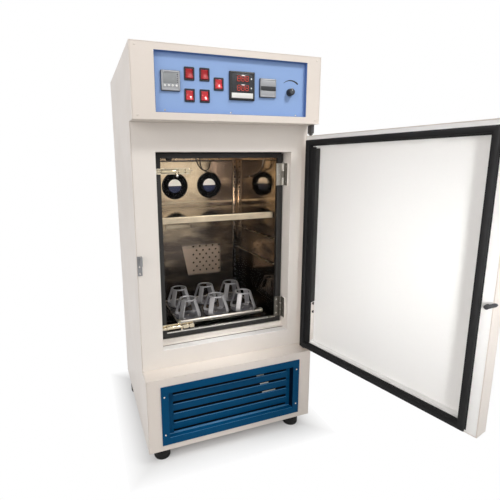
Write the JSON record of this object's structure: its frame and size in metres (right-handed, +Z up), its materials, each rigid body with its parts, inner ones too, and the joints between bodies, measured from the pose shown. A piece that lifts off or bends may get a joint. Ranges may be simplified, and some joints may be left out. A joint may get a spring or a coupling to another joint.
{
  "type": "incubated shaker",
  "caption": "Tall enamelled cabinet on rubber feet: control console, insulated door standing open, inner glass door, and a polished chamber with an orbiting flask-clamp tray.",
  "frame": {"origin": "centre of the bounding box at floor level, with the outer door standing open 103 degrees", "axes": "+X to the right of a person facing the front, +Y from the front to the rear, +Z up"},
  "size_m": [0.7092, 1.0394, 1.184],
  "materials": {
    "cream_paint": "smooth cream enamel",
    "white_liner": "smooth white",
    "foam": "foam, cut faces",
    "stainless": "mirror to fine brushed",
    "spring_steel": "satin",
    "dark_frame": "dark satin",
    "black_plastic": "matt",
    "rubber": "matt",
    "blue_fascia": "light cornflower blue film",
    "blue_grille": "dark blue satin",
    "red_plastic": "gloss",
    "silver_plastic": "satin grey",
    "brass": "plated",
    "dark_steel": "dark plated",
    "machine_paint": "black enamel",
    "fin_metal": "finned block",
    "glass": "clear"
  },
  "bodies": {
    "cabinet": {"base_front": "cream_paint", "base_pan": "cream_paint", "breaker_frame": "black_plastic", "cabinet_shell": "cream_paint", "chamber_fan_frame_1": "black_plastic", "chamber_fan_frame_2": "black_plastic", "chamber_liner": "stainless", "chamber_shelf": "stainless", "compressor": "machine_paint", "condenser": "fin_metal", "console_front": "cream_paint", "control_fascia": "blue_fascia", "door_hinge_lower": "dark_steel", "door_hinge_upper": "dark_steel", "duct_panel": "stainless", "foot_1": "rubber", "foot_2": "rubber", "foot_3": "rubber", "foot_4": "rubber", "front_frame": "cream_paint", "insulation": "foam", "latch_keeper": "dark_steel", "louvre_grille": "blue_grille", "process_timer": "silver_plastic", "rear_panel": "cream_paint", "shaker_motor": "machine_paint", "speed_meter": "black_plastic", "temperature_controller": "silver_plastic"},
    "outer_door": {"door_shell": "cream_paint", "door_liner": "white_liner", "door_gasket": "rubber"},
    "latch_lever": {"latch_lever": "dark_steel"},
    "inner_door": {"inner_door_frame": "dark_frame", "inner_door_glass": "glass", "bolt_body_upper": "brass", "bolt_body_lower": "brass"},
    "bolt_upper": {"bolt_rod_upper": "brass"},
    "bolt_lower": {"bolt_rod_lower": "brass"},
    "crank": {"crank_spindle": "stainless"},
    "idler": {"idler_crank": "stainless"},
    "tray": {"flask_tray": "stainless", "flask_clamp_1": "spring_steel", "flask_clamp_2": "spring_steel", "flask_clamp_3": "spring_steel", "flask_clamp_4": "spring_steel", "flask_clamp_5": "spring_steel", "flask_clamp_6": "spring_steel"},
    "fan_1": {"chamber_fan_rotor_1": "black_plastic"},
    "fan_2": {"chamber_fan_rotor_2": "black_plastic"},
    "condenser_fan": {"condenser_fan_rotor": "black_plastic"},
    "knob": {"speed_knob": "black_plastic"},
    "switch_1": {"rocker_1": "red_plastic"},
    "switch_2": {"rocker_2": "red_plastic"},
    "switch_3": {"rocker_3": "red_plastic"},
    "switch_4": {"rocker_4": "red_plastic"},
    "switch_5": {"rocker_5": "red_plastic"},
    "key_1": {"controller_key_1": "white_liner"},
    "key_2": {"controller_key_2": "white_liner"},
    "key_3": {"controller_key_3": "white_liner"},
    "key_4": {"controller_key_4": "white_liner"}
  },
  "joints": [
    {"name": "outer_door_hinge", "type": "hinge", "parent": "cabinet", "child": "outer_door", "pos_m": [0.18121, 0.01766, 0.627], "axis": [0, 0, 1], "range_deg": [-103, 12]},
    {"name": "latch_turn", "type": "hinge", "parent": "outer_door", "child": "latch_lever", "pos_m": [0.32865, -0.48763, 0.59], "axis": [0.9744, 0.225, 0], "range_deg": [-60, 0]},
    {"name": "inner_door_hinge", "type": "hinge", "parent": "cabinet", "child": "inner_door", "pos_m": [0.12871, 0.08816, 0.627], "axis": [0, 0, 1], "range_deg": [0, 95]},
    {"name": "upper_bolt_slide", "type": "slide", "parent": "inner_door", "child": "bolt_upper", "axis": [-1, 0, 0], "range_m": [0, 0.0118]},
    {"name": "lower_bolt_slide", "type": "slide", "parent": "inner_door", "child": "bolt_lower", "axis": [-1, 0, 0], "range_m": [0, 0.0118]},
    {"name": "crank_spin", "type": "hinge", "parent": "cabinet", "child": "crank", "pos_m": [-0.08379, 0.24366, 0.356], "axis": [0, 0, 1], "continuous": true},
    {"name": "tray_orbit", "type": "hinge", "parent": "crank", "child": "tray", "pos_m": [-0.07129, 0.24366, 0.37], "axis": [0, 0, 1], "continuous": true},
    {"name": "idler_spin", "type": "hinge", "parent": "cabinet", "child": "idler", "pos_m": [0.02121, 0.32966, 0.356], "axis": [0, 0, 1], "continuous": true},
    {"name": "chamber_fan_1_spin", "type": "hinge", "parent": "cabinet", "child": "fan_1", "pos_m": [-0.1413, 0.46566, 0.806], "axis": [0, 1, 0], "continuous": true},
    {"name": "chamber_fan_2_spin", "type": "hinge", "parent": "cabinet", "child": "fan_2", "pos_m": [-0.0003, 0.46566, 0.806], "axis": [0, 1, 0], "continuous": true},
    {"name": "condenser_fan_spin", "type": "hinge", "parent": "cabinet", "child": "condenser_fan", "pos_m": [-0.08379, 0.05866, 0.1353], "axis": [0, 1, 0], "continuous": true},
    {"name": "speed_knob_turn", "type": "hinge", "parent": "cabinet", "child": "knob", "pos_m": [0.0932, -0.01034, 1.085], "axis": [0, 1, 0], "range_deg": [-135, 135]},
    {"name": "switch_1_rock", "type": "hinge", "parent": "cabinet", "child": "switch_1", "pos_m": [-0.2028, -0.00104, 1.1175], "axis": [1, 0, 0], "range_deg": [0, 16]},
    {"name": "switch_2_rock", "type": "hinge", "parent": "cabinet", "child": "switch_2", "pos_m": [-0.16129, -0.00104, 1.1175], "axis": [1, 0, 0], "range_deg": [0, 16]},
    {"name": "switch_3_rock", "type": "hinge", "parent": "cabinet", "child": "switch_3", "pos_m": [-0.1218, -0.00104, 1.096], "axis": [1, 0, 0], "range_deg": [0, 16]},
    {"name": "switch_4_rock", "type": "hinge", "parent": "cabinet", "child": "switch_4", "pos_m": [-0.2028, -0.00104, 1.064], "axis": [1, 0, 0], "range_deg": [0, 16]},
    {"name": "switch_5_rock", "type": "hinge", "parent": "cabinet", "child": "switch_5", "pos_m": [-0.16129, -0.00104, 1.064], "axis": [1, 0, 0], "range_deg": [0, 16]},
    {"name": "key_1_press", "type": "slide", "parent": "cabinet", "child": "key_1", "axis": [0, 1, 0], "range_m": [0, 0.0008], "stiffness_N_per_m": 200},
    {"name": "key_2_press", "type": "slide", "parent": "cabinet", "child": "key_2", "axis": [0, 1, 0], "range_m": [0, 0.0008], "stiffness_N_per_m": 200},
    {"name": "key_3_press", "type": "slide", "parent": "cabinet", "child": "key_3", "axis": [0, 1, 0], "range_m": [0, 0.0008], "stiffness_N_per_m": 200},
    {"name": "key_4_press", "type": "slide", "parent": "cabinet", "child": "key_4", "axis": [0, 1, 0], "range_m": [0, 0.0008], "stiffness_N_per_m": 200}
  ],
  "couplings": [
    {"joint": "tray_orbit", "follows": "crank_spin", "ratio": -1},
    {"joint": "idler_spin", "follows": "crank_spin", "ratio": 1}
  ]
}
